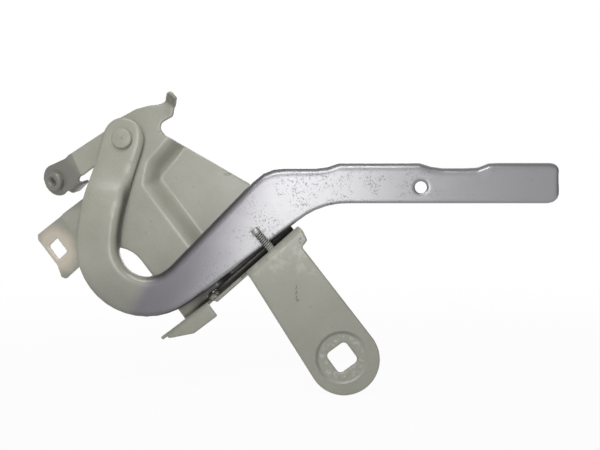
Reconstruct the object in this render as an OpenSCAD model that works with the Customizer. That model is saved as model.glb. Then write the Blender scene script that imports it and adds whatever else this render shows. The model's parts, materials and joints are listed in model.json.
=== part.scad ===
// Gooseneck bonnet hinge, drawn shut, as seen along its pivot from the arm's side.
// The drawing plane is x to the right and y up, with z towards the viewer.
// The pivot is the drawing's zero, and z = 0 is the bracket's face at the pivot.

/* [Arm sheet] */
// Thickness of the arm's sheet
arm_t = 3; // [2.5:0.25:3.5]
// Outer radius of the arm's long bend
arm_bend_r = 6; // [5:0.25:8]
// Face of the arm over the bracket, at the pivot
eye_lift = 6; // [5.5:0.25:8]
// Rise of the arm's web from the eye to the hook
web_rise = 6; // [4:0.5:9]
// Radius of the arm's round eye
eye_r = 15.8; // [14:0.2:18]

/* [Hook] */
// Hook centre, right of the pivot
hook_x = 19; // [14:0.5:24]
// Hook centre, below the pivot
hook_drop = 78; // [72:1:88]
// Inner radius of the hook
hook_in_r = 21.5; // [18:0.5:24]
// Width of the arm in the hook
hook_w = 29; // [26:0.5:32]

/* [Bonnet flange] */
// Slope of the arm's lower edge between hook and flange
lower_slope = 36.9; // [33:0.1:40]
// Slope of the arm's upper edge between hook and flange
upper_slope = 45.7; // [43:0.1:48]
// Top of the flange below the pivot, between the pads
flange_drop = 21.3; // [18:0.1:25]
// Height of the arm along the flange
flange_h = 25.8; // [24:0.2:32]
// Free end of the flange, right of the pivot
flange_end = 315; // [305:1:330]
// Depth of the flange behind the arm's face
flange_depth = 24; // [22:0.5:28]
// Height of the two bolt pads
pad_h = 3.8; // [2:0.2:5]
// Centre of the inner bolt pad, right of the pivot
pad_x = 186; // [184:1:188]
// Distance between the bonnet bolts
bolt_pitch = 104; // [102:1:106]
// Diameter of the bonnet bolt holes
bolt_hole_d = 9; // [7:0.5:10]
// Diameter of the tooling hole in the web
tool_hole_d = 8.5; // [6:0.5:10]

/* [Pivot] */
// Diameter of the rivet's shank
shank_d = 10; // [8:0.5:11]
// Diameter of the rivet's heads
head_d = 14.6; // [13.5:0.1:17]
// Thickness of the rivet's heads
head_t = 2.6; // [2:0.1:3.5]
// Wall of the bush
bush_wall = 1.1; // [0.8:0.1:1.5]
// Running gap of the pivot, on the radius and at the faces
pivot_gap = 0.06; // [0.03:0.01:0.1]

/* [Bracket] */
// Thickness of the bracket's sheet
bracket_t = 2.5; // [2:0.25:3]
// Angle of the bracket's straight edges
bracket_angle = 37; // [35:0.5:39]
// Depth of the pressed recess
recess_d = 9; // [7:0.5:11]
// Tilt of the ears behind the plate
ear_tilt = 27; // [20:1:32]
// Side of the square hole in the lower ear
ear_hole = 12.4; // [10:0.2:14]
// Gap between the hook's sweep and the shelves
shelf_gap = 0.8; // [0.5:0.1:3]

/* [Leg] */
// Thickness of the leg's sheet
leg_t = 3; // [2.5:0.25:3.5]
// Angle of the leg's shelf
leg_angle = 41.3; // [40:0.1:43]
// Face of the leg in front of the bracket's face
leg_lift = 25; // [24:0.5:30]
// Radius of the leg's round end
leg_end_r = 25; // [22:0.5:28]
// Leg hole below the shelf
leg_reach = 89; // [80:1:100]
// Side of the square hole in the leg
leg_hole = 16.5; // [12:0.5:20]
// Diameter of the stud on the shelf
stud_d = 6; // [5:0.5:6]
// Length of the stud above the shelf
stud_l = 19; // [14:1:24]

/* [Hidden] */
$fn = 48;
paint = [0.62, 0.62, 0.56];
silver = [0.66, 0.66, 0.68];

// Hook and shelf
hook_c = [hook_x, -hook_drop];
hook_out_r = hook_in_r + hook_w;
hook_reach = norm(hook_c) + hook_out_r;
shelf_drop = hook_reach + shelf_gap;

// Arm levels: face of the web, and how far back its flange reaches
web_z = eye_lift + web_rise;
hook_rear_z = 1;
recess_rear_z = 3 - recess_d;
flange_rear_z = web_z - flange_depth;

// Arm edges right of the hook: a straight slope, an arc and the level flange
flange_low_y = -flange_drop - flange_h;
lower_bend_r = 54;
upper_bend_r = 28;
end_top_r = 4.3;
end_low_r = 8.6;

// Where a slope that is tangent to a hook circle meets a level
function slope_start(r, slope) = hook_c + r * [sin(slope), -cos(slope)];
function slope_meets(r, slope, level) =
    slope_start(r, slope).x + (level - slope_start(r, slope).y) / tan(slope);

// Height of an arm edge at x: the slope, the arc tangent to both, then the level
function edge_y(x, r, slope, level, bend) =
    let (corner = slope_meets(r, slope, level), tangent = bend * tan(slope / 2))
    x < corner - tangent * cos(slope) ? level + (x - corner) * tan(slope)
    : x < corner + tangent ? level - bend + sqrt(bend * bend - pow(x - corner - tangent, 2))
    : level;
function lower_y(x) = edge_y(x, hook_out_r, lower_slope, flange_low_y, lower_bend_r);
function upper_y(x) = edge_y(x, hook_in_r, upper_slope, -flange_drop, upper_bend_r) + pad_y(x);

// Smooth step from 0 to 1 between a and b
function ease(x, a, b) = let (k = min(1, max(0, (x - a) / (b - a)))) k * k * (3 - 2 * k);

// The two bolt pads, each with a ramp on either side
pad_half = [29, 23];
pad_ramp = 13;
pad_mid = [pad_x, pad_x + bolt_pitch];
function pad_shape(x, i) = ease(x, pad_mid[i] - pad_half[i] - pad_ramp, pad_mid[i] - pad_half[i])
    * (i == 1 ? 1 : 1 - ease(x, pad_mid[i] + pad_half[i], pad_mid[i] + pad_half[i] + pad_ramp));
function pad_y(x) = pad_h * max(pad_shape(x, 0), pad_shape(x, 1));

// Neck: both edges run on cubic curves from the eye to the hook's left side
neck_tilt = 15;
neck_pull = 75;
neck_dir = [-sin(neck_tilt), -cos(neck_tilt)];
neck_side = [cos(neck_tilt), -sin(neck_tilt)];
function cubic(a, da, b, db, k) = (2 * k * k * k - 3 * k * k + 1) * a
    + (k * k * k - 2 * k * k + k) * da + (3 * k * k - 2 * k * k * k) * b + (k * k * k - k * k) * db;
function neck_edge(side, r, k) = cubic(side * neck_side, neck_pull * neck_dir,
    hook_c - [r, 0], [0, -neck_pull], k);

// A station of the arm: free edge, flange edge, face level, flange angle, flange rear level
eye_rim = 58;
eye_soft = 24;
eye_sweep = 78;
eye_free_r = eye_r - 1.4;
function eye_station(a) = let (mid = -neck_dir * eye_r * sin(a), side = neck_side * cos(a))
    [mid - eye_free_r * side, mid + eye_r * side, eye_lift, max(eye_soft, eye_rim * ease(cos(a), 0.55, 0.95)), undef];
function neck_station(k) = let (rise = ease(k, 0.28, 0.6), turn = ease(k, 0.3, 0.62))
    [neck_edge(-eye_free_r, hook_out_r, k), neck_edge(eye_r, hook_in_r, k), eye_lift + web_rise * rise,
     eye_rim + (90 - eye_rim) * turn, turn < 0.02 ? undef : hook_rear_z];
function hook_station(a) = [hook_c + hook_out_r * [cos(a), sin(a)], hook_c + hook_in_r * [cos(a), sin(a)],
    web_z, 90, hook_rear_z];

// Behind the slope the flange first reaches into the recess, then to its full depth
recess_from = hook_x + 46;
recess_to = recess_from + 22;
deep_to = recess_to + 42;
function rear_z(x) = hook_rear_z + (recess_rear_z - hook_rear_z) * ease(x, recess_from, recess_to)
    + (flange_rear_z - recess_rear_z) * ease(x, recess_to + 8, deep_to);
square_x = hook_x + 121;
function slope_station(k) =
    let (low = slope_start(hook_out_r, lower_slope).x, high = slope_start(hook_in_r, upper_slope).x,
         xl = low + (square_x - low) * k, xh = high + (square_x - high) * k)
    [[xl, lower_y(xl)], [xh, upper_y(xh)], web_z, 90, rear_z(xh)];
function corner_y(x, r) = let (in = max(0, x - flange_end + r)) r - sqrt(max(0, r * r - in * in));
function flange_station(x) = [[x, lower_y(x) + corner_y(x, end_low_r)],
    [x, upper_y(x) - corner_y(x, end_top_r)], web_z, 90, flange_rear_z];

flange_steps = 20;
end_steps = 3;
end_sweep = 80;
flange_x = [for (i = [1:flange_steps]) square_x + (flange_end - end_low_r - square_x) * i / flange_steps];
end_x = [for (i = [1:end_steps]) flange_end - end_low_r * (1 - sin(i * end_sweep / end_steps))];
arm_stations = concat(
    [for (a = [eye_sweep:-eye_sweep / 6:0]) eye_station(a)],
    [for (i = [1:9]) neck_station(i / 10)],
    [for (a = [180:9:270 + lower_slope - 5]) hook_station(a)],
    [for (i = [0:14]) slope_station(i / 14)],
    [for (x = flange_x) flange_station(x)],
    [for (x = end_x) flange_station(x)]);

// Section of the pressed sheet at a station: the face, the bend and the flange, then back
bend_steps = 4;
function section(s) =
    let (wide = norm(s[1] - s[0]), along = (s[1] - s[0]) / wide, turn = s[3],
         leg = s[4] == undef ? 0.6
             : max(0.6, (s[2] - arm_bend_r + (arm_bend_r - arm_t) * cos(turn) - s[4]) / sin(turn)),
         start = wide - arm_bend_r * sin(turn) - leg * cos(turn),
         arc = [for (i = [0:bend_steps]) let (b = turn * i / bend_steps) [sin(b), cos(b)]],
         leg_way = leg * [cos(turn), -sin(turn)],
         face = [for (d = arc) [start, -arm_bend_r] + arm_bend_r * d],
         rear = [for (d = arc) [start, -arm_bend_r] + (arm_bend_r - arm_t) * d],
         ring = concat([[0, 0]], face, [face[bend_steps] + leg_way], [rear[bend_steps] + leg_way],
             [for (i = [bend_steps:-1:0]) rear[i]], [[0, -arm_t]]))
    [for (p = ring) [s[0].x + along.x * p[0], s[0].y + along.y * p[0], s[2] + p[1]]];

// A closed skin over a row of sections with as many points each
module loft(rows) {
    n = len(rows[0]);
    last = len(rows) - 1;
    sides = [for (r = [0:last - 1], i = [0:n - 1], half = [0, 1])
        half == 0 ? [r * n + i, r * n + (i + 1) % n, (r + 1) * n + i]
                  : [r * n + (i + 1) % n, (r + 1) * n + (i + 1) % n, (r + 1) * n + i]];
    caps = [[for (i = [n - 1:-1:0]) i], [for (i = [0:n - 1]) last * n + i]];
    polyhedron([for (row = rows) each row], concat(sides, caps), convexity = 8);
}

// Drawing plane into the part's own frame, with the leg's hole as its zero
leg_rear_z = leg_lift - leg_t;
function turned(p, angle) = [p.x * cos(angle) - p.y * sin(angle), p.x * sin(angle) + p.y * cos(angle)];
leg_hole_x = 16.8;
leg_hole_at = [leg_hole_x, -shelf_drop - leg_reach];
zero = turned(leg_hole_at, leg_angle);
module placed() {
    rotate([90, 0, 0]) translate([-zero.x, -zero.y, -leg_rear_z]) children();
}

// Points on an arc round c
function arc_points(c, r, from, to, steps = 8) =
    [for (i = [0:steps]) let (a = from + (to - from) * i / steps) c + r * [cos(a), sin(a)]];

// A sheet of thickness t under z = 0 that bends up by angle at x = 0 and goes on along x
module after_bend(angle, r) {
    translate([0, 0, r]) rotate([0, -angle, 0]) translate([0, 0, -r]) children();
}
module bend_up(angle, t, r, w) {
    translate([0, 0, r]) rotate([90, 90, 0]) translate([0, 0, -w / 2])
        rotate_extrude(angle = angle) translate([r, 0]) square([t, w]);
    after_bend(angle, r) children();
}
module bend_down(angle, t, r, w) {
    translate([0, 0, -t]) mirror([0, 0, 1]) bend_up(angle, t, r, w)
        translate([0, 0, -t]) mirror([0, 0, 1]) children();
}
module sheet(t) {
    translate([0, 0, -t]) linear_extrude(t) children();
}

// A rounded square
module soft_square(side, r) {
    square([side - 2 * r, side], center = true);
    square([side, side - 2 * r], center = true);
    for (i = [-1, 1], j = [-1, 1]) translate([i, j] * (side / 2 - r)) circle(r);
}

// Bracket, drawn with its straight edges level
bend_r = 3;
flap_lead = 3;
flap_back = 0.5;
plate_left = -43.5;
plate_right = 64;
step_x = [-7, 1.5];
step_y = [-22, -31];
arm_top_y = 16;
upper_arm_low = -2.5;
slot_end = -19;
lower_arm_top = -16;
lower_arm_low = -54;
ear_bend_x = [-41, -70];
tab_at = [41.4, 0.4];
tab_turn = 20;
tab_w = 9.7;
tab_side = tab_w / 2 * [-sin(tab_turn), cos(tab_turn)];
tab_root = tab_at - flap_back * [cos(tab_turn), sin(tab_turn)];
plate_low = -shelf_drop + bend_r;
shelf_x = [-61, -19];
leg_turn = leg_angle - bracket_angle;
leg_side_low = -(shelf_drop - bend_r - 0.5 - plate_right * sin(leg_turn)) / cos(leg_turn);

module plate_outline() {
    polygon(concat(
        [[ear_bend_x[0] + flap_back, arm_top_y], [-6, 13.8], [2, 15.8], [20.6, 13], [29, 9.7]],
        [[35.5, 5.8], tab_root + tab_side, tab_root - tab_side, [38.8, -7.6]],
        arc_points([31, -11.5], 5, 90, 180),
        [[26, -15.5], [29, -21.5], [plate_right, -104], [plate_right, leg_side_low], [shelf_x[1], plate_low],
         [plate_left, plate_low]],
        arc_points([plate_left - 24, lower_arm_low - 24], 24, 0, 90),
        [[ear_bend_x[1] + flap_back, lower_arm_low], [ear_bend_x[1] + flap_back, lower_arm_top]],
        arc_points([slot_end, (upper_arm_low + lower_arm_top) / 2], (upper_arm_low - lower_arm_top) / 2,
            -90, 90),
        [[ear_bend_x[0] + flap_back, upper_arm_low]]));
}

// Space in front of the recess, with its two sloping sides
module recess_front() {
    far = 300;
    function rim(i, z) = [[step_x[i], -far, z], [far, -far, z], [far, step_y[i] + 9, z],
        [29, step_y[i] + 2, z], [5, step_y[i] - 3, z], [step_x[i], step_y[i] - [14, 6][i], z]];
    above = 20;
    loft([rim(0, above), rim(0, 0), rim(1, -recess_d)]);
}

module pressed_plate() {
    intersection() {
        translate([0, 0, -40]) linear_extrude(60) plate_outline();
        difference() {
            translate([-150, -250, -30]) cube([300, 300, 30]);
            recess_front();
            difference() {
                translate([-200, -300, -60 - bracket_t]) cube([400, 400, 60]);
                translate([0, 0, -bracket_t]) recess_front();
            }
        }
    }
}

// Left shelf of the bracket: bent up under the plate, with a tapered lip along its front
shelf_out = 15;
lip_h = 8;
module left_shelf() {
    w = shelf_x[1] - plate_left;
    translate([plate_left + w / 2, plate_low, 0]) rotate(-90) bend_up(90, bracket_t, bend_r, w) {
        left = plate_left + w / 2 - shelf_x[0];
        sheet(bracket_t) polygon([[0, -w / 2], [3, -left + 12], [8, -left], [shelf_out, -left],
            [shelf_out, w / 2], [0, w / 2]]);
        lip_w = w / 2 + left - 5;
        translate([shelf_out, w / 2 - lip_w / 2, 0]) bend_down(90, bracket_t, 1.5, lip_w)
            sheet(bracket_t) polygon([[0, -lip_w / 2], [lip_h, 4 - lip_w / 6], [lip_h, lip_w / 2],
                [0, lip_w / 2]]);
    }
}

// A flap folded up at x = 0, drawn from its side profile with a lead in the sheet it belongs to,
// and cut to an outline in its own plane
module flap(angle, r, reach) {
    way = reach * [cos(angle), sin(angle)];
    inner = arc_points([0, r], r, -90, angle - 90);
    outer = arc_points([0, r], r + bracket_t, angle - 90, -90);
    intersection() {
        rotate([90, 0, 0]) translate([0, 0, -80]) linear_extrude(160) polygon(concat([[-flap_lead, 0]],
            inner, [inner[8] + way, outer[0] + way], outer, [[-flap_lead, -bracket_t]]));
        after_bend(angle, r) translate([0, 0, -40]) linear_extrude(80) children();
    }
}

// An ear tilted back at x
module ear_frame(x) {
    translate([x, 0, 0]) rotate(180) after_bend(-ear_tilt, -bracket_t - bend_r) children();
}
module folded_ear(x, reach) {
    translate([x, 0, -bracket_t]) rotate(180) mirror([0, 0, 1]) flap(ear_tilt, bend_r, reach) children();
}

// Upper ear: a round end with the nut's pilot hole, and a return along its lower edge
ear_mid = (arm_top_y + upper_arm_low) / 2 + 2.2;
ear_end_r = 12;
nut_at = 19;
nut_pilot_d = 8;
return_w = 13;
return_h = 7;
module upper_ear() {
    edge = ear_end_r - ear_mid;
    top = flap_back - arm_top_y;
    low = -upper_arm_low - flap_back;
    folded_ear(ear_bend_x[0], nut_at + ear_end_r + 1) difference() {
        polygon(concat([[-30, top], [0, top]], arc_points([nut_at, -ear_mid], ear_end_r, -100, 90, 16),
            [[1, edge], [0, low], [-30, low]]));
        translate([nut_at, -ear_mid]) circle(d = nut_pilot_d);
    }
    ear_frame(ear_bend_x[0]) translate([2.5 + return_w / 2, edge, 0]) rotate(90)
        bend_down(90, bracket_t, 1, return_w)
        sheet(bracket_t) translate([0, -return_w / 2]) square([return_h, return_w]);
}

// Lower ear: the full width of its arm, with a square hole for a body bolt
lower_ear_l = 31;
ear_hole_at = [20.5, 32.6];
module lower_ear() {
    top = flap_back - lower_arm_top;
    low = -lower_arm_low - flap_back;
    folded_ear(ear_bend_x[1], lower_ear_l + 6) difference() {
        polygon([[-30, top], [0, top], [lower_ear_l - 3, top - 2.5], [lower_ear_l, top + 0.5],
            [lower_ear_l, top + (low - top) * 2 / 3], [lower_ear_l + 4, low - 3], [lower_ear_l + 1, low],
            [-30, low]]);
        translate(ear_hole_at) soft_square(ear_hole, 1);
    }
}

// Stop tab at the top of the plate, bent towards the arm's side
tab_l = 6.5;
module stop_tab() {
    half = tab_w / 2 - flap_back;
    translate(tab_at) rotate(tab_turn) flap(60, 2, tab_l + 5)
        polygon(concat([[-30, -half]], arc_points([tab_l, 3 - half], 3, -90, 0, 4),
            arc_points([tab_l, half - 4.5], 4.5, 0, 90, 4), [[-30, half]]));
}

fit_gap = 0.02;
module body_bracket() {
    color(paint) placed() difference() {
        rotate(bracket_angle) {
            pressed_plate();
            left_shelf();
            upper_ear();
            lower_ear();
            stop_tab();
        }
        translate([0, 0, -20]) cylinder(d = shank_d + 2 * fit_gap, h = 30);
    }
}

// Leg: a foot welded behind the recess, a shelf under the arm and the leg in front
leg_shelf_x = [-27, 54.5];
leg_side_x = [5.2, 46.6];
foot_x = [-24, 50];
foot_l = 24;
leg_bend_r = 2;
seat_r = 18;
leg_shelf_l = leg_lift + recess_d + bracket_t - bend_r - leg_bend_r - leg_t;
side_shelf_front = 12;
stud_x = 29;
stud_head_d = stud_d + 1.5;
stud_z = leg_lift - leg_t - leg_bend_r - stud_head_d / 2;
leg_low = leg_bend_r + leg_t;
shoulder_l = 8;

// Point where the line from p touches a circle, on its left (1) or right (-1) side
function touch(p, c, r, side) = let (d = c - p, a = atan2(d.y, d.x), b = asin(r / norm(d)))
    p + sqrt(d * d - r * r) * [cos(a + side * b), sin(a + side * b)];

// Outline of the leg below its bend, x down the leg and y to the right
module leg_outline() {
    end = [leg_reach - leg_low + 2, leg_hole_x];
    left = [0, leg_side_x[0]];
    right = [shoulder_l, leg_side_x[1]];
    left_touch = touch(left, end, leg_end_r, -1);
    right_touch = touch(right, end, leg_end_r, 1);
    from = atan2(left_touch.y - end.y, left_touch.x - end.x);
    to = atan2(right_touch.y - end.y, right_touch.x - end.x);
    polygon(concat([left], arc_points(end, leg_end_r, from, to, 24),
        [right, [shoulder_l - 1, leg_shelf_x[1] - 2], [0, leg_shelf_x[1]]]));
}

module leg_sheet() {
    foot_w = foot_x[1] - foot_x[0];
    foot_mid = (foot_x[0] + foot_x[1]) / 2;
    front_w = leg_shelf_x[1] - leg_side_x[0];
    translate([0, -shelf_drop + bend_r, -recess_d - bracket_t]) rotate(-90) {
        sheet(leg_t) translate([-foot_l, foot_x[0]]) square([foot_l, foot_w]);
        translate([0, foot_mid, 0]) bend_up(90, leg_t, bend_r, foot_w) translate([0, -foot_mid, 0]) {
            difference() {
                sheet(leg_t) polygon([[0, foot_x[0]], [0, foot_x[1]], [8, leg_shelf_x[1]],
                    [leg_shelf_l, leg_shelf_x[1]], [leg_shelf_l, leg_side_x[0]],
                    [leg_shelf_l - side_shelf_front, leg_side_x[0] - 6],
                    [leg_shelf_l - side_shelf_front, leg_shelf_x[0]], [13, leg_shelf_x[0] + 2]]);
                translate([stud_z + recess_d + bracket_t - bend_r, stud_x, -leg_t - 1])
                    cylinder(d = stud_collar_d + 2 * fit_gap, h = leg_t + 2);
            }
            translate([leg_shelf_l, leg_side_x[0] + front_w / 2, 0])
                bend_down(90, leg_t, leg_bend_r, front_w)
                translate([0, -leg_side_x[0] - front_w / 2, 0]) difference() {
                    sheet(leg_t) leg_outline();
                    translate([leg_reach - leg_low, leg_hole_x, -10])
                        linear_extrude(20) rotate(-5) soft_square(leg_hole, 3);
                    translate([leg_reach - leg_low, leg_hole_x, -0.3]) cylinder(r = seat_r, h = 1);
                }
        }
    }
}
module mounting_leg() {
    color(paint) placed() rotate(leg_angle) leg_sheet();
}

// Rivet through bracket, bush and arm, closed behind the bracket over its washer
washer_t = 1.5;
washer_d = head_d + 4;
bush_d = shank_d + 2 * pivot_gap + 2 * bush_wall;
bush_flange_t = eye_lift - arm_t - pivot_gap;
bush_flange_r = eye_r - arm_bend_r * sin(eye_rim) - 1;
module pivot_rivet() {
    tail = -bracket_t - washer_t - head_t;
    front = eye_lift + pivot_gap;
    color(paint) placed() rotate_extrude() polygon([[0, tail], [head_d / 2 - 1, tail],
        [head_d / 2, tail + 1], [head_d / 2, tail + head_t], [shank_d / 2, tail + head_t],
        [shank_d / 2, front], [head_d / 2, front], [head_d / 2, front + head_t - 0.6],
        [head_d / 2 - 0.6, front + head_t], [1.2, front + head_t], [0, front + head_t - 0.4]]);
}
module pivot_washer() {
    color(silver) placed() translate([0, 0, -bracket_t - washer_t]) difference() {
        cylinder(d = washer_d, h = washer_t);
        translate([0, 0, -1]) cylinder(d = shank_d + 2 * fit_gap, h = washer_t + 2);
    }
}
module pivot_bush() {
    color([0.55, 0.45, 0.25]) placed() translate([0, 0, pivot_gap]) rotate_extrude()
        polygon([[shank_d / 2 + pivot_gap, 0], [bush_flange_r, 0], [bush_flange_r, bush_flange_t],
            [bush_d / 2, bush_flange_t], [bush_d / 2, bush_flange_t + arm_t],
            [shank_d / 2 + pivot_gap, bush_flange_t + arm_t]]);
}

bolt_z = (web_z - arm_bend_r + flange_rear_z) / 2;
tool_hole_x = pad_x + 29.5;
module gooseneck_arm() {
    color(silver) placed() difference() {
        loft([for (s = arm_stations) section(s)]);
        translate([0, 0, -5]) cylinder(d = bush_d + 2 * fit_gap, h = 30);
        translate([tool_hole_x, flange_low_y + 11.6, -5]) cylinder(d = tool_hole_d, h = 40);
        for (x = pad_mid) translate([x, 0, bolt_z]) rotate([90, 0, 0])
            cylinder(d = bolt_hole_d, h = flange_drop + arm_t + 2);
    }
}

// Stud: a weld head under the shelf, a collar through it, the shank and a plain dog point
stud_collar_d = stud_d + 0.8;
stud_head_t = 1.5;
dog_l = 3.5;
module shelf_stud() {
    top = stud_l;
    head = -leg_t;
    color(silver) placed() rotate(leg_angle) translate([stud_x, -shelf_drop, stud_z]) rotate([-90, 0, 0])
        rotate_extrude() polygon([[0, head - stud_head_t], [stud_head_d / 2, head - stud_head_t],
            [stud_head_d / 2, head], [stud_collar_d / 2, head], [stud_collar_d / 2, 0], [stud_d / 2, 0],
            [stud_d / 2, top - dog_l - 0.8],
            [stud_d / 2 - 0.8, top - dog_l], [stud_d / 2 - 0.8, top - 0.5], [stud_d / 2 - 1.3, top], [0, top]]);
}

// Round weld nut on the upper ear, with its pilot through the sheet
nut_d = 14.6;
nut_t = 4;
nut_bore_d = 5;
module ear_nut() {
    pilot = nut_pilot_d / 2 - fit_gap;
    color(paint) placed() rotate(bracket_angle) ear_frame(ear_bend_x[0]) translate([nut_at, -ear_mid, 0])
        rotate_extrude() polygon([[nut_bore_d / 2, -bracket_t], [pilot, -bracket_t], [pilot, 0],
            [nut_d / 2, 0], [nut_d / 2, nut_t - 1.2], [nut_d / 2 - 1.2, nut_t], [nut_bore_d / 2 + 1, nut_t],
            [nut_bore_d / 2, nut_t - 1]]);
}

body_bracket();
mounting_leg();
pivot_rivet();
pivot_washer();
pivot_bush();
gooseneck_arm();
shelf_stud();
ear_nut();
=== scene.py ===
import json
import math
import bmesh
import bpy
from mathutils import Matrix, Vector


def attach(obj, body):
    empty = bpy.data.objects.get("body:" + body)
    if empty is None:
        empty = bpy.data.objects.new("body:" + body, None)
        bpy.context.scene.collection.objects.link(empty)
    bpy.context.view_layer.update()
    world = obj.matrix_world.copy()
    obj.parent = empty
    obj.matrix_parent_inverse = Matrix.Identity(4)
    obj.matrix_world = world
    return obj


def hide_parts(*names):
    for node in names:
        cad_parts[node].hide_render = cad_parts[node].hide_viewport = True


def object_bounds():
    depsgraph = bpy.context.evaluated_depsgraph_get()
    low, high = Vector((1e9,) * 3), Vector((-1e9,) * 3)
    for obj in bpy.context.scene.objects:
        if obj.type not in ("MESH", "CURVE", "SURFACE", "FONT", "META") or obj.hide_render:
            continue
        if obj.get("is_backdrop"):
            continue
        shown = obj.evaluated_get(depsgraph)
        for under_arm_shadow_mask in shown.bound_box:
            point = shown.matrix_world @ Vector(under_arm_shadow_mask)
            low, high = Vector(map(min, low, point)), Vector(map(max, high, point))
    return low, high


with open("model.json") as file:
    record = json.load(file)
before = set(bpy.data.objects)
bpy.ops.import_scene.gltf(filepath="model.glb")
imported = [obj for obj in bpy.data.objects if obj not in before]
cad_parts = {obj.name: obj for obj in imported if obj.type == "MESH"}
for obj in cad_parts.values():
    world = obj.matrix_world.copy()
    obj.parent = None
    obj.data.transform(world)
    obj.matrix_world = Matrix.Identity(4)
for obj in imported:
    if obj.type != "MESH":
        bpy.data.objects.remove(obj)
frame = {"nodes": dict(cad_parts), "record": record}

cad_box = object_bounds()

# Camera and stage. The hinge is seen square on from the arm's side, along its pivot,
# over a white floor and against a white surround.
view_middle_x = -0.0293
view_middle_z = 0.0921
arm_face_y = 0.010
view_distance = 0.450
picture_px = 600
px_per_m = 1400
floor_gap = 0.0005

scene = bpy.context.scene
scene.view_settings.view_transform = "Standard"
bpy.ops.object.select_all(action="DESELECT")
bpy.ops.object.camera_add(location=(view_middle_x, arm_face_y - view_distance, view_middle_z),
                          rotation=(math.radians(90), 0, 0))
camera = bpy.context.object
camera.data.sensor_width = 36
camera.data.lens = camera.data.sensor_width * view_distance * px_per_m / picture_px
camera.data.clip_start = 0.01
scene.camera = camera

bpy.ops.mesh.primitive_plane_add(size=8, location=(0, 0, cad_box[0][2] - floor_gap))
floor = bpy.context.object
floor.name = "floor"
floor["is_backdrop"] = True


class Shade:
    """A socket of a node tree that Python's own operators work on."""

    def __init__(self, tree, socket=None):
        self.tree = tree
        self.socket = socket

    def node(self, kind, settings=None, inputs=None, out=0):
        made = self.tree.nodes.new(kind)
        for key, value in (settings or {}).items():
            setattr(made, key, value)
        for key, value in (inputs or {}).items():
            if isinstance(value, Shade):
                self.tree.links.new(value.socket, made.inputs[key])
            else:
                made.inputs[key].default_value = value
        return Shade(self.tree, made.outputs[out])

    def math(self, operation, a, b=0.0):
        return self.node("ShaderNodeMath", {"operation": operation}, {0: a, 1: b})

    def __add__(self, other):
        return self.math("ADD", self, other)

    def __radd__(self, other):
        return self.math("ADD", other, self)

    def __sub__(self, other):
        return self.math("SUBTRACT", self, other)

    def __rsub__(self, other):
        return self.math("SUBTRACT", other, self)

    def __mul__(self, other):
        return self.math("MULTIPLY", self, other)

    def __rmul__(self, other):
        return self.math("MULTIPLY", other, self)

    def most(self, other):
        return self.math("MAXIMUM", self, other)

    def rise(self, low, high):
        return self.node("ShaderNodeMapRange", {"interpolation_type": "SMOOTHSTEP"},
                         {"Value": self, "From Min": low, "From Max": high})

    def fall(self, low, high):
        return 1 - self.rise(low, high)

    def band(self, start, full, fade, end):
        return self.rise(start, full) * self.fall(fade, end)

    def part(self, axis):
        return self.node("ShaderNodeSeparateXYZ", {}, {"Vector": self}, out=axis)

    def far_from(self, spot):
        return self.node("ShaderNodeVectorMath", {"operation": "DISTANCE"}, {0: self, 1: spot}, out="Value")

    def past_line(self, spot, way):
        """Distance past a line in the XZ plane, through a spot and square to a direction."""
        return (self.part("X") - spot[0]) * way[0] + (self.part("Z") - spot[1]) * way[1]

    def mix(self, a, b):
        """Colour a where this mask is 0 and colour b where it is 1."""
        a, b = (value if isinstance(value, Shade) else (*value, 1) for value in (a, b))
        return self.node("ShaderNodeMix", {"data_type": "RGBA"}, {0: self, 6: a, 7: b}, out=2)

    def noise(self, scale, detail=3.0, rough=0.55):
        return self.node("ShaderNodeTexNoise", {}, {"Vector": self, "Scale": scale, "Detail": detail,
                                                    "Roughness": rough})

    def bump(self, strength, distance):
        return self.node("ShaderNodeBump", {}, {"Strength": strength, "Distance": distance, "Height": self})


def new_finish(name):
    """A material with its shader, and the place on the piece that its patterns read."""
    finish = bpy.data.materials.new(name)
    finish.use_nodes = True
    shader = finish.node_tree.nodes["Principled BSDF"]
    return finish, shader, Shade(finish.node_tree).node("ShaderNodeTexCoord", out="Object")


def link(shader, **sockets):
    for name, value in sockets.items():
        value.tree.links.new(value.socket, shader.inputs[name.replace("_", " ")])


def ray_masks(tree):
    """Masks of the rays that come from the camera, off a gloss and through glass."""
    return [tree.node("ShaderNodeLightPath", out=kind)
            for kind in ("Is Camera Ray", "Is Glossy Ray", "Is Transmission Ray")]


near_glow = 0.95
white, shader, place = new_finish("white_floor")
shader.inputs["Roughness"].default_value = 0.9
shader.inputs["Base Color"].default_value = (0.7, 0.7, 0.7, 1)
seen, glossy, passed = ray_masks(place)
away = place.far_from((0, 0, 0)).rise(0.1, 1.0)
glow = place.node("ShaderNodeEmission", {}, {"Color": (1, 1, 1, 1), "Strength": 1.0})
lifted = place.node("ShaderNodeMixShader", {}, {
    0: seen.most(glossy).most(passed) * (away * (1 - near_glow) + near_glow),
    1: Shade(white.node_tree, shader.outputs[0]), 2: glow})
white.node_tree.links.new(lifted.socket, white.node_tree.nodes["Material Output"].inputs["Surface"])
floor.data.materials.append(white)

world = bpy.data.worlds.new("white_surround")
scene.world = world
world.use_nodes = True
way = Shade(world.node_tree).node("ShaderNodeTexCoord")
seen, glossy, passed = ray_masks(way)
mirrored = glossy.most(passed)
ahead = (way.part("Y") * way.part("Y")).rise(0.05, 0.9)
above = way.part("Z").rise(0.2, 0.8)
shown_in_gloss = ahead * 0.85 + above * 0.35 + 0.15
soft_light = ahead * 0.20 + 0.10
room = mirrored * shown_in_gloss + (1 - mirrored) * soft_light
background = world.node_tree.nodes["Background"]
background.inputs["Color"].default_value = (1, 1, 1, 1)
link(background, Strength=seen + (1 - seen) * room)

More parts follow.
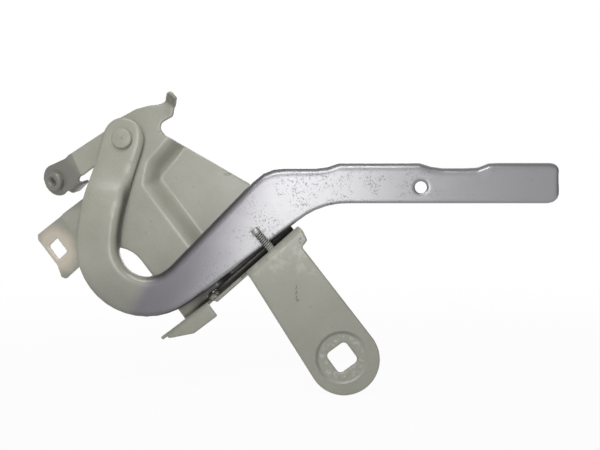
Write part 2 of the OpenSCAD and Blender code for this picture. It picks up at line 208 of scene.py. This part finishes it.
for name, spot, aim, size, power in (
        ("key_light", (-0.18, -0.50, 0.62), (-0.05, 0.0, 0.10), 0.25, 1.7),
        ("top_light", (0.08, -0.40, 0.80), (-0.08, 0.0, 0.10), 0.15, 1.3),
        ("front_light", (-0.06, -1.25, 0.22), (-0.03, 0.0, 0.10), 0.4, 3.6),
        ("back_light", (-0.15, 0.95, 0.45), (-0.05, 0.0, 0.10), 0.8, 5.0)):
    bpy.ops.object.light_add(type="AREA", location=spot)
    lamp = bpy.context.object
    lamp.name = name
    lamp.data.size = size
    lamp.data.energy = power
    lamp.rotation_euler = (Vector(aim) - Vector(spot)).to_track_quat("-Z", "Y").to_euler()

# Body bracket: one pressing of 2.5 mm sheet steel with a sunk panel, two ears tilted back,
# a stop tab and a short shelf, sprayed with olive grey primer after the leg was welded on.
bracket_cut_round = 0.0005
bracket_fold_round = 0.0034
deep_olive = (0.335, 0.335, 0.276)
light_olive = (0.405, 0.405, 0.342)
low_shade_olive = (0.14, 0.14, 0.12)
worn_and_highlit_edge = (0.56, 0.56, 0.49)
crease_shade = (0.12, 0.12, 0.10)
chip_brown = (0.09, 0.085, 0.07)


def pick(piece):
    """Selects a piece alone and makes it the active one."""
    bpy.ops.object.select_all(action="DESELECT")
    piece.select_set(True)
    bpy.context.view_layer.objects.active = piece


def modify(piece, kind, **settings):
    """Adds a modifier to the piece that is picked, sets it and applies it."""
    bpy.ops.object.modifier_add(type=kind)
    modifier = piece.modifiers[-1]
    for key, value in settings.items():
        setattr(modifier, key, value)
    bpy.ops.object.modifier_apply(modifier=modifier.name)


def pressing(name, node, body, cut_round, fold_round=0.0, roll=None, rubs=4):
    """A copy of a packed sheet piece, with its cut edges and folds rounded under one even skin."""
    flat_turn = 1
    fold_turn = 16
    cut_turn = 62
    shortest_fold = 0.012
    faces_front = -0.9
    widest = 0.004
    skin_grain = 0.00075
    piece = bpy.data.objects.new(name, frame["nodes"][node].data.copy())
    scene.collection.objects.link(piece)
    piece.data.materials.clear()
    pick(piece)
    bpy.ops.object.mode_set(mode="EDIT")
    bpy.ops.mesh.select_all(action="SELECT")
    bpy.ops.mesh.customdata_custom_splitnormals_clear()
    bpy.ops.mesh.remove_doubles(threshold=1e-6)
    bpy.ops.mesh.dissolve_limited(angle_limit=math.radians(flat_turn))
    sheet = bmesh.from_edit_mesh(piece.data)
    weight = sheet.edges.layers.float.new("bevel_weight_edge")
    for edge in sheet.edges:
        turn = math.degrees(edge.calc_face_angle(0.0))
        if turn > cut_turn:
            middle = (edge.verts[0].co + edge.verts[1].co) / 2
            at_front = min(face.normal.y for face in edge.link_faces) < faces_front
            edge[weight] = (roll(middle) if roll and at_front else cut_round) / widest
        elif turn > fold_turn and edge.calc_length() > shortest_fold:
            edge[weight] = fold_round / widest
    bmesh.update_edit_mesh(piece.data)
    bpy.ops.object.mode_set(mode="OBJECT")
    modify(piece, "BEVEL", width=widest, segments=4, limit_method="WEIGHT", use_clamp_overlap=False)
    modify(piece, "REMESH", mode="VOXEL", voxel_size=skin_grain)
    modify(piece, "SMOOTH", factor=0.5, iterations=rubs)
    bpy.ops.object.shade_smooth()
    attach(piece, body)
    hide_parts(node)
    return piece


def primer(place):
    """Olive grey primer: its tone, darker towards the bottom as painted shade, lighter at convex edges as
    wear and painted highlight, darker in creases as painted shade, its orange-peel grain and a mask of
    small dark chips.
    """
    cloud = place.noise(38, 4)
    grain = place.noise(700, 2)
    tone = (cloud * 0.7 + grain * 0.3).rise(0.32, 0.68)
    olive = tone.mix(deep_olive, light_olive)
    # Darker towards the bottom: painted shade.
    painted_low_shade = place.part("Z").fall(0.0, 0.13)
    olive = (painted_low_shade * 0.30).mix(olive, low_shade_olive)
    # Convex edges are lighter, partly as edge wear and partly as painted highlight on the folds.
    edge = place.node("ShaderNodeNewGeometry", out="Pointiness") + (place.noise(320) - 0.5) * 0.03
    olive = (edge.rise(0.52, 0.58) * 0.45).mix(olive, worn_and_highlit_edge)
    # Hollow creases are darker: painted shade.
    olive = (edge.fall(0.42, 0.485) * 0.5).mix(olive, crease_shade)
    chips = place.noise(260, 5, 0.7).rise(0.65, 0.69) * cloud.rise(0.46, 0.6)
    return olive, grain, chips


bracket_paint, shader, place = new_finish("bracket_paint")
coat, grain, chips = primer(place)
x, y, z = (place.part(axis) for axis in "XYZ")
thin_olive = (0.27, 0.27, 0.222)
thin = (place.noise(22) - 0.5) * 0.4 + 0.28
coat = thin.mix(coat, thin_olive)

# The lower ear is rubbed pale, with a paler ring at its hole, and the upper ear's end, which tilts away
# from the light, is painted darker as shade.
ear_hole = (-0.2106, 0.0330, 0.0743)
ear_bend = (-0.1915, 0.135)
ear_way = (-0.907, -0.42)
ear_ring = (0.0088, 0.0100, 0.0106, 0.0116)
rubbed_cream = (0.72, 0.645, 0.53)
ring_cream = (0.66, 0.61, 0.53)
ear_end_shade = (0.175, 0.168, 0.148)
from_ear_hole = place.far_from(ear_hole) + (place.noise(150) - 0.5) * 0.003
coat = from_ear_hole.fall(0.0100, 0.0240).mix(coat, rubbed_cream)
coat = (from_ear_hole.band(*ear_ring) * 0.7).mix(coat, ring_cream)
ear_end = place.past_line(ear_bend, ear_way).rise(0.0, 0.002) * z.rise(0.100, 0.110)
coat = (ear_end * 0.75).mix(coat, ear_end_shade)

# Painted shadow in the corner under the arm, where the two shelves meet the sunk panel.
shelf_spot = (-0.0314, 0.0928)
shelf_way = (0.607, -0.795)
under_arm_shadow = (0.035, 0.033, 0.028)
under_arm_shadow_mask = place.past_line(shelf_spot, shelf_way).band(-0.012, -0.004, 0.004, 0.009)
under_arm_shadow_mask = under_arm_shadow_mask * x.rise(-0.112, -0.100) * y.band(0.012, 0.020, 0.0338, 0.0348)
coat = (under_arm_shadow_mask * 0.9).mix(coat, under_arm_shadow)

# Dark scuffs on the leg and the panel: the middle of each, half its width and half its height.
scuff_brown = (0.07, 0.065, 0.055)
for scuff_x, scuff_z, wide, tall in (
        (-0.0318, 0.0450, 0.0008, 0.0065), (-0.0306, 0.0400, 0.0016, 0.0016),
        (-0.0835, 0.1300, 0.0030, 0.0014), (-0.0290, 0.0810, 0.0014, 0.0030)):
    across = (x - scuff_x + (place.noise(400, 2) - 0.5) * 0.001) * (1 / wide)
    along = (z - scuff_z) * (1 / tall)
    scuff = (across * across + along * along).fall(0.3, 1.1) * place.noise(900).rise(0.42, 0.56)
    coat = (scuff * 0.75).mix(coat, scuff_brown)

# The top of the leg has a pale smear. The ring pressed round its bolt hole gets a painted shadow on its
# upper-left wall, and the bolt has scraped the seat inside it.
leg_bolt_face = (0, -0.003, 0)
bolt_ring = (0.0162, 0.0174, 0.0182, 0.0194)
bolt_seat = (0.0090, 0.0115, 0.0148, 0.0164)
smear_cream = (0.47, 0.455, 0.385)
scraped_grey = (0.52, 0.53, 0.50)
smear = place.noise(140, 4).rise(0.50, 0.66) * z.band(0.050, 0.066, 0.084, 0.092)
smear = smear * x.band(-0.075, -0.066, -0.020, -0.012) * y.fall(0.002, 0.004)
coat = (smear * 0.6).mix(coat, smear_cream)
from_bolt = place.far_from(leg_bolt_face) + (place.noise(500, 2) - 0.5) * 0.0012
ring_wall_shadow = from_bolt.band(*bolt_ring) * (z - x).rise(-0.010, 0.016)
coat = (ring_wall_shadow * 0.65).mix(coat, crease_shade)
scraped = from_bolt.band(*bolt_seat) * place.noise(330, 4, 0.7).rise(0.50, 0.62)
coat = (scraped * 0.5).mix(coat, scraped_grey)

shader.inputs["Coat Weight"].default_value = 0.35
shader.inputs["Coat Roughness"].default_value = 0.16
link(shader, Base_Color=(chips * 0.6).mix(coat, chip_brown), Roughness=grain * 0.2 + 0.3 + chips * 0.2,
     Normal=(grain - chips * 0.5).bump(0.1, 0.0004))

bracket = pressing("body_bracket_sheet", "body_bracket", "bracket",
                   bracket_cut_round, bracket_fold_round)
bracket.data.materials.append(bracket_paint)

# Mounting leg: a second pressing of 3 mm sheet, with its foot spot-welded behind the sunk panel,
# a shelf that passes under the arm and a long leg with a square hole for the body bolt.
leg_cut_round = 0.0006
leg_fold_round = 0.001
leg = pressing("mounting_leg_sheet", "mounting_leg", "bracket",
               leg_cut_round, leg_fold_round)
leg.data.materials.append(bracket_paint)

# Shelf weld: a short lumpy bead of arc weld that joins the leg's shelf to the bracket's shelf,
# laid by hand on the assembled sheets and sprayed over with them.
weld_grain = 0.00025
weld_ripple_pitch = 0.0016
weld_ripple_height = 0.0007


def joined(whole, *others):
    """Joins other pieces into a whole one, which stays picked."""
    pick(whole)
    for piece in others:
        piece.select_set(True)
    bpy.ops.object.join()


drops = []
for spot_mm, radius_mm in (
        ((-94.0, 20.3, 40.2), 2.3), ((-92.9, 18.6, 38.9), 2.5), ((-91.9, 19.4, 40.6), 2.7),
        ((-90.6, 18.4, 39.4), 2.3), ((-89.9, 20.4, 42.4), 2.6)):
    bpy.ops.object.select_all(action="DESELECT")
    bpy.ops.mesh.primitive_uv_sphere_add(radius=radius_mm / 1000, location=[mm / 1000 for mm in spot_mm])
    drops.append(bpy.context.object)
weld = drops.pop()
joined(weld, *drops)
weld.name = "shelf_weld_bead"
bpy.ops.object.transform_apply(location=True, rotation=True, scale=True)
modify(weld, "REMESH", mode="VOXEL", voxel_size=weld_grain)
ripple = bpy.data.textures.new("weld_ripple", type="CLOUDS")
ripple.noise_scale = weld_ripple_pitch
modify(weld, "DISPLACE", texture=ripple, texture_coords="GLOBAL", strength=weld_ripple_height)
modify(weld, "SMOOTH", iterations=3)
bpy.ops.object.shade_smooth()
weld.data.materials.append(bracket_paint)
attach(weld, "bracket")

# Gooseneck arm: 3 mm sheet drawn to an L section, with a round eye, a joggled neck, a hook that
# clears the body's edge and a flange with two raised pads under the bonnet.
arm_cut_round = 0.0006
least_roll = 0.0008
hole_roll = 0.0012
hook_roll = 0.0022
top_roll = 0.0032
tool_hole = Vector((0.0576, 0, 0.1190))
tool_hole_rim = 0.007
hook_roll_start_z = 0.0814
hook_roll_ease = 0.04
top_start_x = -0.115
top_roll_ease = 0.03
web_top_z = 0.118


def rolled_edge(spot):
    """How far the sheet's front edge is rolled over: most along the top, then at the hook's bottom."""
    slope_top_z = 0.150 + 0.9 * spot.x
    if (Vector((spot.x, 0, spot.z)) - tool_hole).length < tool_hole_rim:
        return hole_roll
    if spot.z > min(web_top_z, slope_top_z) and spot.x > top_start_x:
        return least_roll + (top_roll - least_roll) * min(1.0, (spot.x - top_start_x) / top_roll_ease)
    below = max(0.0, min(1.0, (hook_roll_start_z - spot.z) / hook_roll_ease))
    return least_roll + (hook_roll - least_roll) * below * below * (3 - 2 * below)


arm_paint, shader, place = new_finish("arm_paint")
olive, grain, _ = primer(place)
x, y, z = (place.part(axis) for axis in "XYZ")

# Primer ends at the hook's bottom. It is painted darker there as shade, and the neck's inner flange is
# painted dark as shade.
neck_inside = (-0.146, 0.018, 0.093)
hook_bottom_shade = (0.13, 0.13, 0.12)
neck_flange_shade = (0.05, 0.05, 0.047)
shaded_olive = (z.fall(0.03, 0.07) * 0.45).mix(olive, hook_bottom_shade)
# The neck's inner flange is darkened as painted shade.
inside = y.rise(0.0108, 0.0150) * place.far_from(neck_inside).fall(0.018, 0.034)
shaded_olive = (inside * 0.85).mix(shaded_olive, neck_flange_shade)

# From there on the steel is bare, darker at first, with dark specks that thin out to the right.
hook_bottom = (0, 0.045)
hook_way = (1, -0.55)
dark_silver = (0.138, 0.133, 0.146)
light_silver = (0.265, 0.262, 0.27)
speck_grey = (0.08, 0.08, 0.085)
along = place.past_line(hook_bottom, hook_way) + (place.noise(30, 2) - 0.5) * 0.012
bare = along.rise(-0.152, -0.136)
bright = along.rise(-0.122, -0.080)
silver = bright.mix(dark_silver, light_silver)
specks = place.noise(850, 2, 0.6).rise(0.55, 0.63) * place.noise(55).rise(0.38, 0.56) * bright
specks = specks * (1 - x.rise(0.01, 0.09) * 0.85)
metal = (specks * 0.78 + (place.noise(45, 4) - 0.5) * 0.2).mix(silver, speck_grey)

shader.inputs["Coat Weight"].default_value = 0.25
shader.inputs["Coat Roughness"].default_value = 0.18
link(shader, Base_Color=bare.mix(shaded_olive, metal), Metallic=bare * 0.9, Roughness=grain * 0.12 + 0.3,
     Normal=grain.bump(0.1, 0.0004))

arm = pressing("gooseneck_arm_sheet", "gooseneck_arm", "arm", arm_cut_round,
               roll=rolled_edge, rubs=12)
arm.data.materials.append(arm_paint)

# The neck's step is eased across the sheet only, so that its outline stays.
joggle_low_z = 0.098
joggle_high_z = 0.138
joggle_right_x = -0.135
faces_across = 0.8
joggle = arm.vertex_groups.new(name="joggle")
joggle.add([point.index for point in arm.data.vertices
            if abs(point.normal.y) > faces_across and joggle_low_z < point.co.z < joggle_high_z
            and point.co.x < joggle_right_x], 1.0, "REPLACE")
modify(arm, "SMOOTH", vertex_group=joggle.name, use_x=False, use_z=False, factor=0.5, iterations=150)
arm.vertex_groups.clear()

# Pivot rivet: a shouldered steel rivet put in from the front, with a dimple and faint turned rings
# on its head, closed behind the bracket by an orbital press and sprayed with the bracket.
pivot = Vector(frame["record"]["behaviour"]["joints"][0]["pos_m"])
pivot_way = (0, -1, 0)
shank_r_mm = 5.0
head_r_mm = 7.3
head_top_mm = 8.66
tail_end_mm = -6.6
ring_turn = 5200


def lone_point(name, radius_mm, height_mm):
    """Starts a piece as one point, and leaves it in edit mode to be drawn on."""
    bpy.ops.object.select_all(action="DESELECT")
    bpy.ops.mesh.primitive_plane_add(size=0.001)
    piece = bpy.context.object
    piece.name = name
    bpy.ops.object.mode_set(mode="EDIT")
    bpy.ops.mesh.select_all(action="SELECT")
    bpy.ops.mesh.merge(type="CENTER")
    bpy.ops.transform.translate(value=(radius_mm / 1000, 0, height_mm / 1000))
    return piece


def draw_on(out_mm, up_mm):
    """Extrudes the last point of the line that is being drawn."""
    bpy.ops.mesh.extrude_vertices_move(
        TRANSFORM_OT_translate={"value": (out_mm / 1000, 0, up_mm / 1000)})


def turned(name, profile, rounding=0.0):
    """A round piece along Z: its half profile (radius, height, in mm) drawn point by point and spun."""
    spin_steps = 72
    sharp_turn = math.radians(40)
    piece = lone_point(name, *profile[0])
    for (radius, height), (next_radius, next_height) in zip(profile, profile[1:]):
        draw_on(next_radius - radius, next_height - height)
    bpy.ops.mesh.select_all(action="SELECT")
    bpy.ops.mesh.spin(steps=spin_steps, angle=2 * math.pi, center=(0, 0, 0), axis=(0, 0, 1))
    bpy.ops.mesh.select_all(action="SELECT")
    bpy.ops.mesh.remove_doubles(threshold=1e-7)
    bpy.ops.mesh.normals_make_consistent(inside=False)
    bpy.ops.object.mode_set(mode="OBJECT")
    if rounding:
        modify(piece, "BEVEL", width=rounding, segments=3, angle_limit=sharp_turn)
    bpy.ops.object.shade_smooth_by_angle(angle=sharp_turn)
    return piece


def seated(piece, node, body, finish, spot, way):
    """Stands a round piece on its spot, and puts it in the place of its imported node."""
    pick(piece)
    piece.location = spot
    piece.rotation_euler = Vector(way).to_track_quat("Z", "Y").to_euler()
    bpy.ops.object.transform_apply(location=True, rotation=True, scale=True)
    piece.data.materials.append(finish)
    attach(piece, body)
    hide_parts(node)


rivet_paint, shader, place = new_finish("rivet_paint")
olive, grain, chips = primer(place)
flat = place.node("ShaderNodeMapping", {}, {"Vector": place, "Scale": (1, 0, 1)})
rings = place.math("SINE", flat.far_from((pivot.x, 0, pivot.z)) * ring_turn)
link(shader, Base_Color=(chips * 0.6).mix(olive, chip_brown), Roughness=grain * 0.2 + 0.3,
     Normal=(grain + rings * 0.3).bump(0.15, 0.0003))
rivet = turned("pivot_rivet_turned", [
    (0, -6.2), (1.4, -6.3), (2.2, tail_end_mm), (6.0, tail_end_mm), (6.9, -6.1), (head_r_mm, -5.2),
    (head_r_mm, -4.02), (shank_r_mm, -4.02), (shank_r_mm, 6.07), (head_r_mm, 6.07), (head_r_mm, 7.9),
    (6.95, 8.45), (6.3, head_top_mm), (1.1, head_top_mm), (0.8, 8.4), (0, 8.3)])
seated(rivet, "pivot_rivet", "bracket", rivet_paint, pivot, pivot_way)

# Pivot washer and bush: a zinc plated steel washer under the rivet's tail, and a sintered bronze
# bush with a flange, pressed into the arm's eye so that the arm turns on it.
washer_bore_r_mm = 5.02
washer_rim_r_mm = 9.3
washer_back_mm = -4
washer_front_mm = -2.5
washer_round = 0.0003
deep_zinc = (0.36, 0.36, 0.35)
light_zinc = (0.52, 0.52, 0.51)
plated_steel, shader, place = new_finish("plated_steel")
grain = place.noise(900)
zinc = (place.noise(120, 4) * 0.6 + grain * 0.4).rise(0.3, 0.7).mix(deep_zinc, light_zinc)
shader.inputs["Metallic"].default_value = 1.0
link(shader, Base_Color=zinc, Roughness=grain * 0.2 + 0.28, Normal=grain.bump(0.15, 0.0002))
washer = turned("pivot_washer_turned", [
    (washer_bore_r_mm, washer_back_mm), (washer_rim_r_mm, washer_back_mm),
    (washer_rim_r_mm, washer_front_mm), (washer_bore_r_mm, washer_front_mm),
    (washer_bore_r_mm, washer_back_mm)], washer_round)
seated(washer, "pivot_washer", "bracket", plated_steel, pivot, pivot_way)

bush_bore_r_mm = 5.06
bush_sleeve_r_mm = 6.16
bush_flange_r_mm = 9.71
bush_back_mm = 0.06
bush_flange_front_mm = 3.0
bush_front_mm = 6.0
bush_round = 0.0002
pore_brown = (0.22, 0.15, 0.06)
bronze = (0.50, 0.36, 0.17)
bush_bronze, shader, place = new_finish("bush_bronze")
pores = place.noise(1400, 2)
shader.inputs["Metallic"].default_value = 1.0
link(shader, Base_Color=pores.rise(0.35, 0.6).mix(pore_brown, bronze), Roughness=0.55 - pores * 0.2,
     Normal=pores.bump(0.3, 0.0002))
bush = turned("pivot_bush_turned", [
    (bush_bore_r_mm, bush_back_mm), (bush_flange_r_mm, bush_back_mm),
    (bush_flange_r_mm, bush_flange_front_mm), (bush_sleeve_r_mm, bush_flange_front_mm),
    (bush_sleeve_r_mm, bush_front_mm), (bush_bore_r_mm, bush_front_mm),
    (bush_bore_r_mm, bush_back_mm)], bush_round)
seated(bush, "pivot_bush", "arm", bush_bronze, pivot, pivot_way)

# Shelf stud: a plated M6 weld stud with a rolled thread and a plain dog point, welded up through
# the leg's shelf before spraying, so that its root is smeared with primer.
mounts = {mount["name"]: mount for mount in frame["record"]["mounts"]}
root_below_mount = 0.007
stud_way = Vector(mounts["stud"]["axis"])
stud_root = Vector(mounts["stud"]["pos_m"]) - stud_way * root_below_mount
stud_core_r_mm = 2.35
stud_point_r_mm = 2.8
stud_foot_r_mm = 3.4
stud_head_r_mm = 3.75
stud_top_mm = 19
dull_zinc = (0.34, 0.34, 0.32)
worn_zinc = (0.46, 0.46, 0.44)
groove_shade = (0.05, 0.05, 0.045)


def thread(name, low, high, pitch, foot, top):
    """A thread along Z (sizes in mm): one ridge wound up as a screw and cut square at both ends.

    On a stud the ends are capped. In a nut the ridge gets a wall behind it, which lies in the nut's body.
    """
    flank = 0.42
    crest = 1 - 2 * flank
    turn_steps = 32
    nut_wall = 0.0002
    piece = lone_point(name, low, foot - pitch)
    for out, up in ((high - low, flank), (0, crest), (low - high, flank)):
        draw_on(out, up * pitch)
    bpy.ops.object.mode_set(mode="OBJECT")
    modify(piece, "SCREW", screw_offset=pitch / 1000, iterations=math.ceil((top - foot) / pitch) + 2,
           steps=turn_steps, render_steps=turn_steps, use_merge_vertices=True, merge_threshold=1e-7)
    bpy.ops.object.mode_set(mode="EDIT")
    bpy.ops.mesh.select_all(action="SELECT")
    bpy.ops.mesh.remove_doubles(threshold=1e-7)
    for cut, way in ((foot, -1), (top, 1)):
        bpy.ops.mesh.select_all(action="SELECT")
        bpy.ops.mesh.bisect(plane_co=(0, 0, cut / 1000), plane_no=(0, 0, way), clear_outer=True,
                            use_fill=high > low)
    bpy.ops.mesh.select_all(action="SELECT")
    bpy.ops.mesh.normals_make_consistent(inside=False)
    bpy.ops.object.mode_set(mode="OBJECT")
    if high < low:
        modify(piece, "SOLIDIFY", thickness=nut_wall, offset=1)
    bpy.ops.object.shade_smooth_by_angle(angle=math.radians(30))
    return piece


stud_steel, shader, place = new_finish("stud_steel")
olive, grain, _ = primer(place)
cloud = place.noise(300)
smear = (place.far_from(stud_root) + (cloud - 0.5) * 0.006).fall(0.002, 0.0065)
zinc = (cloud * 0.6 + grain * 0.4).rise(0.3, 0.7).mix(dull_zinc, worn_zinc)
# The thread's grooves are painted dark as shade.
outward = place.node("ShaderNodeVectorMath", {"operation": "SUBTRACT"}, {0: place, 1: stud_root})
outward = place.node("ShaderNodeVectorMath", {"operation": "CROSS_PRODUCT"}, {0: outward, 1: stud_way})
groove = outward.far_from((0, 0, 0)).fall(0.00245, 0.00285)
zinc = (groove * 0.85).mix(zinc, groove_shade)
link(shader, Base_Color=smear.mix(zinc, olive), Metallic=0.6 - smear * 0.6,
     Roughness=grain * 0.2 + 0.34 + smear * 0.1, Normal=grain.bump(0.15, 0.0002))
stud = turned("shelf_stud_turned", [
    (0, -4.5), (stud_head_r_mm, -4.5), (stud_head_r_mm, -3), (stud_foot_r_mm, -3), (stud_foot_r_mm, 0),
    (stud_core_r_mm, 0.4), (stud_core_r_mm, 14.9), (stud_point_r_mm, 15.3), (stud_point_r_mm, 18.4),
    (2.3, stud_top_mm), (0, stud_top_mm)])
joined(stud, thread("shelf_stud_thread", low=2.33, high=3.0, pitch=1.5, foot=0.2, top=15.0))
seated(stud, "shelf_stud", "bracket", stud_steel, stud_root, stud_way)

# Ear nut: a round weld nut with a threaded bore, its pilot pressed through the ear and its rim
# projection-welded to the sheet, then sprayed with the bracket.
nut_way = Vector(mounts["ear_thread"]["axis"])
nut_spot = Vector(mounts["ear_thread"]["pos_m"])
nut_bore_r_mm = 3.05
nut_pilot_r_mm = 3.98
nut_rim_r_mm = 7.3
nut_back_mm = -2.5
nut_front_mm = 4
nut_round = 0.00015
reach = max((under_arm_shadow_mask.co - nut_spot).dot(nut_way) for under_arm_shadow_mask in frame["nodes"]["ear_nut"].data.vertices)
nut_foot = nut_spot + nut_way * (reach - nut_front_mm / 1000)
nut = turned("ear_nut_turned", [
    (nut_bore_r_mm, nut_back_mm), (nut_pilot_r_mm, nut_back_mm), (nut_pilot_r_mm, 0), (nut_rim_r_mm, 0),
    (nut_rim_r_mm, 2.6), (7.1, 3.1), (6.4, 3.8), (5.9, nut_front_mm), (4.0, nut_front_mm),
    (nut_bore_r_mm, 3.2), (nut_bore_r_mm, nut_back_mm)], nut_round)
joined(nut, thread("ear_nut_thread", low=3.1, high=2.5, pitch=1.0, foot=-2.4, top=3.3))
seated(nut, "ear_nut", "bracket", bracket_paint, nut_foot, nut_way)

size = {"cad": [list(c) for c in cad_box], "visual": [list(c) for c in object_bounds()]}
